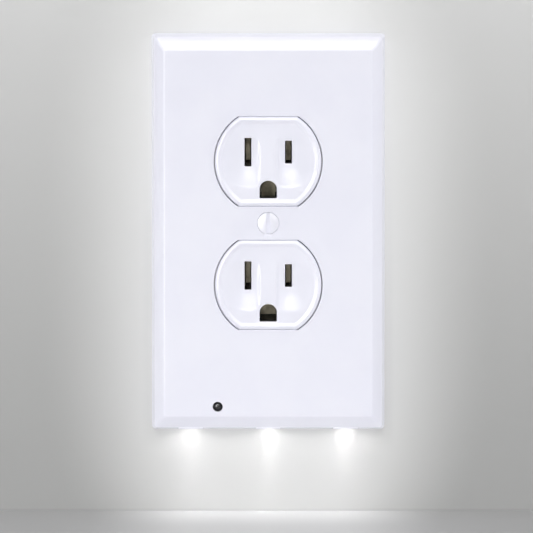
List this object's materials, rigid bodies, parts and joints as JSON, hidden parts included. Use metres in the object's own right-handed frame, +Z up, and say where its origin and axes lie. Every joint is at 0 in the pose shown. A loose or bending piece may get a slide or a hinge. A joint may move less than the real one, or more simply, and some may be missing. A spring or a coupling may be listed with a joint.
{
  "type": "plug in night light",
  "caption": "Duplex wall outlet with a plug-on cover plate night light: LED windows along the lower edge, a dusk sensor, and sprung prongs that reach back to the terminal screws.",
  "frame": {"origin": "where the cover screw's axis crosses the wall plane", "axes": "+X to the right seen from the room, +Y into the wall, +Z up; the front faces -Y"},
  "size_m": [0.0734, 0.0334, 0.1252],
  "materials": {
    "cover_plastic": "semi-gloss moulded polycarbonate",
    "cover_back_plastic": "moulded, satin",
    "case_screw_steel": "zinc plated",
    "board_laminate": "solder mask on glass laminate",
    "led_package_white": "moulded",
    "led_phosphor": "cast silicone",
    "lens_clear": "clear acrylic",
    "sensor_resin": "dark tinted epoxy",
    "chip_epoxy": "moulded",
    "capacitor_epoxy": "moulded",
    "resistor_ceramic": "glazed",
    "conductor_brass": "stamped strip",
    "arm_plastic": "moulded nylon",
    "prong_brass": "stamped strip",
    "cover_screw_white": "gloss enamel",
    "face_plastic": "semi-gloss moulded nylon",
    "body_thermoset": "moulded",
    "strap_steel": "zinc plated",
    "contact_brass": "stamped",
    "hot_screw_brass": "turned",
    "neutral_screw_nickel": "nickel plated",
    "ground_screw_green": "green dyed zinc",
    "box_screw_steel": "zinc plated",
    "retainer_fibre": "pressed fibre",
    "rivet_steel": "zinc plated"
  },
  "bodies": {
    "receptacle": {"socket_face": "face_plastic", "receptacle_body": "body_thermoset", "mounting_strap": "strap_steel", "hot_contact": "contact_brass", "neutral_contact": "contact_brass", "ground_contact": "contact_brass", "screw_retainers": "retainer_fibre", "assembly_rivets": "rivet_steel"},
    "cover": {"cover_plate": "cover_plastic", "back_cover": "cover_back_plastic", "back_cover_screws": "case_screw_steel", "circuit_board": "board_laminate", "led_packages": "led_package_white", "led_phosphors": "led_phosphor", "left_light_lens": "lens_clear", "middle_light_lens": "lens_clear", "right_light_lens": "lens_clear", "light_sensor": "sensor_resin", "bridge_rectifier": "chip_epoxy", "driver_chip": "chip_epoxy", "smoothing_capacitor": "capacitor_epoxy", "chip_resistors": "resistor_ceramic", "left_conductor": "conductor_brass", "right_conductor": "conductor_brass"},
    "left_prong": {"left_prong_arm": "arm_plastic", "left_prong_contact": "prong_brass"},
    "right_prong": {"right_prong_arm": "arm_plastic", "right_prong_contact": "prong_brass"},
    "cover_screw": {"cover_screw": "cover_screw_white"},
    "upper_hot_screw": {"upper_hot_screw": "hot_screw_brass"},
    "lower_hot_screw": {"lower_hot_screw": "hot_screw_brass"},
    "upper_neutral_screw": {"upper_neutral_screw": "neutral_screw_nickel"},
    "lower_neutral_screw": {"lower_neutral_screw": "neutral_screw_nickel"},
    "ground_screw": {"ground_screw": "ground_screw_green"},
    "upper_box_screw": {"upper_box_screw": "box_screw_steel"},
    "lower_box_screw": {"lower_box_screw": "box_screw_steel"}
  },
  "joints": [
    {"name": "cover_slide", "type": "slide", "parent": "receptacle", "child": "cover", "axis": [0, -1, 0], "range_m": [0, 0.045]},
    {"name": "left_prong_flex", "type": "hinge", "parent": "cover", "child": "left_prong", "pos_m": [-0.02057, -0.003, -0.0099], "axis": [0, 0, 1], "range_deg": [0, 6], "stiffness_Nm_per_rad": 0.4},
    {"name": "right_prong_flex", "type": "hinge", "parent": "cover", "child": "right_prong", "pos_m": [0.02057, -0.003, -0.0099], "axis": [0, 0, -1], "range_deg": [0, 6], "stiffness_Nm_per_rad": 0.4},
    {"name": "cover_screw_turn", "type": "hinge", "parent": "cover", "child": "cover_screw", "pos_m": [0, -0.0074, 0], "axis": [0, -1, 0], "continuous": true},
    {"name": "upper_hot_screw_turn", "type": "hinge", "parent": "receptacle", "child": "upper_hot_screw", "pos_m": [0.0174, 0.009, 0.0099], "axis": [1, 0, 0], "continuous": true},
    {"name": "lower_hot_screw_turn", "type": "hinge", "parent": "receptacle", "child": "lower_hot_screw", "pos_m": [0.0174, 0.009, -0.0099], "axis": [1, 0, 0], "continuous": true},
    {"name": "upper_neutral_screw_turn", "type": "hinge", "parent": "receptacle", "child": "upper_neutral_screw", "pos_m": [-0.0174, 0.009, 0.0099], "axis": [-1, 0, 0], "continuous": true},
    {"name": "lower_neutral_screw_turn", "type": "hinge", "parent": "receptacle", "child": "lower_neutral_screw", "pos_m": [-0.0174, 0.009, -0.0099], "axis": [-1, 0, 0], "continuous": true},
    {"name": "ground_screw_turn", "type": "hinge", "parent": "receptacle", "child": "ground_screw", "pos_m": [-0.01785, 0.0075, -0.029], "axis": [-1, 0, 0], "continuous": true},
    {"name": "upper_box_screw_turn", "type": "hinge", "parent": "receptacle", "child": "upper_box_screw", "pos_m": [0, -0.0028, 0.04167], "axis": [0, -1, 0], "continuous": true},
    {"name": "lower_box_screw_turn", "type": "hinge", "parent": "receptacle", "child": "lower_box_screw", "pos_m": [0, -0.0028, -0.04167], "axis": [0, -1, 0], "continuous": true}
  ]
}
